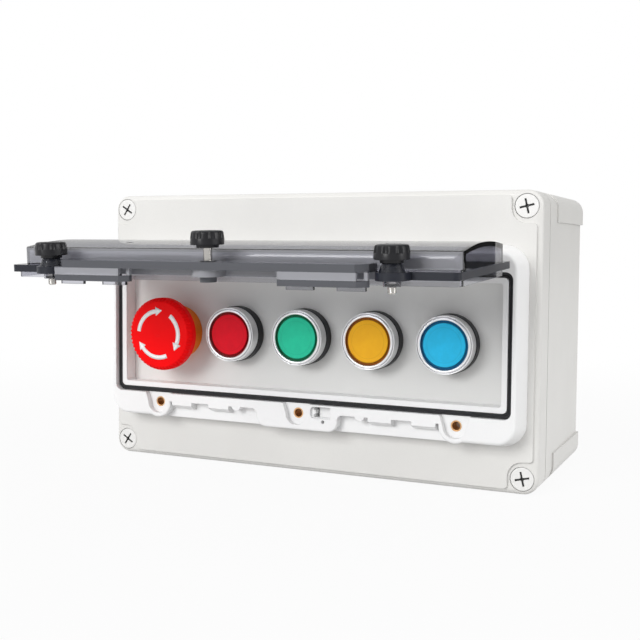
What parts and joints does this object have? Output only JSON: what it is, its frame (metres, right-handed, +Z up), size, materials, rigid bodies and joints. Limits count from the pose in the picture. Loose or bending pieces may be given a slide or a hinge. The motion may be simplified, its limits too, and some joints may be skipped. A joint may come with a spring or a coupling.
{
  "type": "emergency stop control box",
  "caption": "Wall-mounted control box with a mushroom stop button and illuminated push buttons in a sealed window under a clear hinged cover with thumbscrews.",
  "frame": {"origin": "middle of the rear face, which lies on the wall", "axes": "+X to the right as seen from the front, +Y into the wall, +Z up"},
  "size_m": [0.25, 0.216, 0.15],
  "materials": {
    "grey_plastic": "fine satin moulding",
    "white_plastic": "satin moulding",
    "grey_screw": "satin moulding",
    "black_plastic": "satin moulding",
    "black_knob": "satin moulding",
    "black_rubber": "matt",
    "smoke_clear": "polished clear plastic with a grey tint",
    "red_plastic": "gloss moulding",
    "yellow_plastic": "gloss moulding",
    "red_lens": "translucent lens",
    "green_lens": "translucent lens",
    "yellow_lens": "translucent lens",
    "blue_lens": "translucent lens",
    "satin_chrome": "satin chrome",
    "nickel_steel": "nickel plated",
    "zinc_steel": "zinc plated",
    "spring_steel": "drawn wire",
    "brass": "turned brass",
    "red_block": "moulding",
    "dark_block": "moulding"
  },
  "bodies": {
    "box": {"base_box": "grey_plastic", "base_inserts": "brass", "lid_seal": "black_rubber", "lid": "grey_plastic", "lid_screws": "grey_screw", "button_panel": "grey_plastic", "window_frame": "white_plastic", "frame_screws": "zinc_steel", "latch_inserts": "brass", "window_seal": "black_rubber", "hinge_pins": "zinc_steel", "stop_collar": "yellow_plastic", "stop_barrel": "black_plastic", "stop_spring": "spring_steel", "stop_contact_block": "red_block", "locknuts": "black_plastic", "red_bezel": "satin_chrome", "red_ring": "black_plastic", "red_barrel": "black_plastic", "red_spring": "spring_steel", "red_contact_block": "dark_block", "green_bezel": "satin_chrome", "green_ring": "black_plastic", "green_barrel": "black_plastic", "green_spring": "spring_steel", "green_contact_block": "dark_block", "yellow_bezel": "satin_chrome", "yellow_ring": "black_plastic", "yellow_barrel": "black_plastic", "yellow_spring": "spring_steel", "yellow_contact_block": "dark_block", "blue_bezel": "satin_chrome", "blue_ring": "black_plastic", "blue_barrel": "black_plastic", "blue_spring": "spring_steel", "blue_contact_block": "dark_block"},
    "cover": {"window_cover": "smoke_clear"},
    "stop_shaft": {"stop_plunger": "black_plastic"},
    "stop_button": {"stop_head": "red_plastic"},
    "left_slide": {"left_retaining_ring": "black_rubber"},
    "left_thumbscrew": {"left_knob": "black_knob", "left_screw": "nickel_steel"},
    "middle_slide": {"middle_retaining_ring": "black_rubber"},
    "middle_thumbscrew": {"middle_knob": "black_knob", "middle_screw": "nickel_steel"},
    "right_slide": {"right_retaining_ring": "black_rubber"},
    "right_thumbscrew": {"right_knob": "black_knob", "right_screw": "nickel_steel"},
    "red_button": {"red_lens": "red_lens", "red_plunger": "black_plastic"},
    "green_button": {"green_lens": "green_lens", "green_plunger": "black_plastic"},
    "yellow_button": {"yellow_lens": "yellow_lens", "yellow_plunger": "black_plastic"},
    "blue_button": {"blue_lens": "blue_lens", "blue_plunger": "black_plastic"}
  },
  "joints": [
    {"name": "cover_hinge", "type": "hinge", "parent": "box", "child": "cover", "pos_m": [0, -0.1247, 0.0418], "axis": [-1, 0, 0], "range_deg": [-87.2, 17.8]},
    {"name": "left_pull", "type": "slide", "parent": "cover", "child": "left_slide", "axis": [0, -0.0489, 0.9988], "range_m": [0, 0.0055]},
    {"name": "left_turn", "type": "hinge", "parent": "left_slide", "child": "left_thumbscrew", "pos_m": [-0.0865, -0.2076, 0.03775], "axis": [0, -0.0489, 0.9988], "continuous": true},
    {"name": "middle_pull", "type": "slide", "parent": "cover", "child": "middle_slide", "axis": [0, -0.0489, 0.9988], "range_m": [-0.0055, 0]},
    {"name": "middle_turn", "type": "hinge", "parent": "middle_slide", "child": "middle_thumbscrew", "pos_m": [0, -0.2076, 0.03775], "axis": [0, -0.0489, 0.9988], "continuous": true},
    {"name": "right_pull", "type": "slide", "parent": "cover", "child": "right_slide", "axis": [0, -0.0489, 0.9988], "range_m": [0, 0.0055]},
    {"name": "right_turn", "type": "hinge", "parent": "right_slide", "child": "right_thumbscrew", "pos_m": [0.0865, -0.2076, 0.03775], "axis": [0, -0.0489, 0.9988], "continuous": true},
    {"name": "red_press", "type": "slide", "parent": "box", "child": "red_button", "axis": [0, 1, 0], "range_m": [0, 0.0032], "stiffness_N_per_m": 800, "springref_m": -0.003, "deforming": ["red_spring"]},
    {"name": "green_press", "type": "slide", "parent": "box", "child": "green_button", "axis": [0, 1, 0], "range_m": [0, 0.0032], "stiffness_N_per_m": 800, "springref_m": -0.003, "deforming": ["green_spring"]},
    {"name": "yellow_press", "type": "slide", "parent": "box", "child": "yellow_button", "axis": [0, 1, 0], "range_m": [0, 0.0032], "stiffness_N_per_m": 800, "springref_m": -0.003, "deforming": ["yellow_spring"]},
    {"name": "blue_press", "type": "slide", "parent": "box", "child": "blue_button", "axis": [0, 1, 0], "range_m": [0, 0.0032], "stiffness_N_per_m": 800, "springref_m": -0.003, "deforming": ["blue_spring"]},
    {"name": "stop_press", "type": "slide", "parent": "box", "child": "stop_shaft", "axis": [0, 1, 0], "range_m": [0, 0.0045], "stiffness_N_per_m": 1500, "springref_m": -0.004, "deforming": ["stop_spring"]},
    {"name": "stop_twist", "type": "hinge", "parent": "stop_shaft", "child": "stop_button", "pos_m": [-0.0785, -0.1263, -0.002], "axis": [0, 1, 0], "range_deg": [0, 45], "stiffness_Nm_per_rad": 0.08, "springref_deg": -5.73}
  ]
}
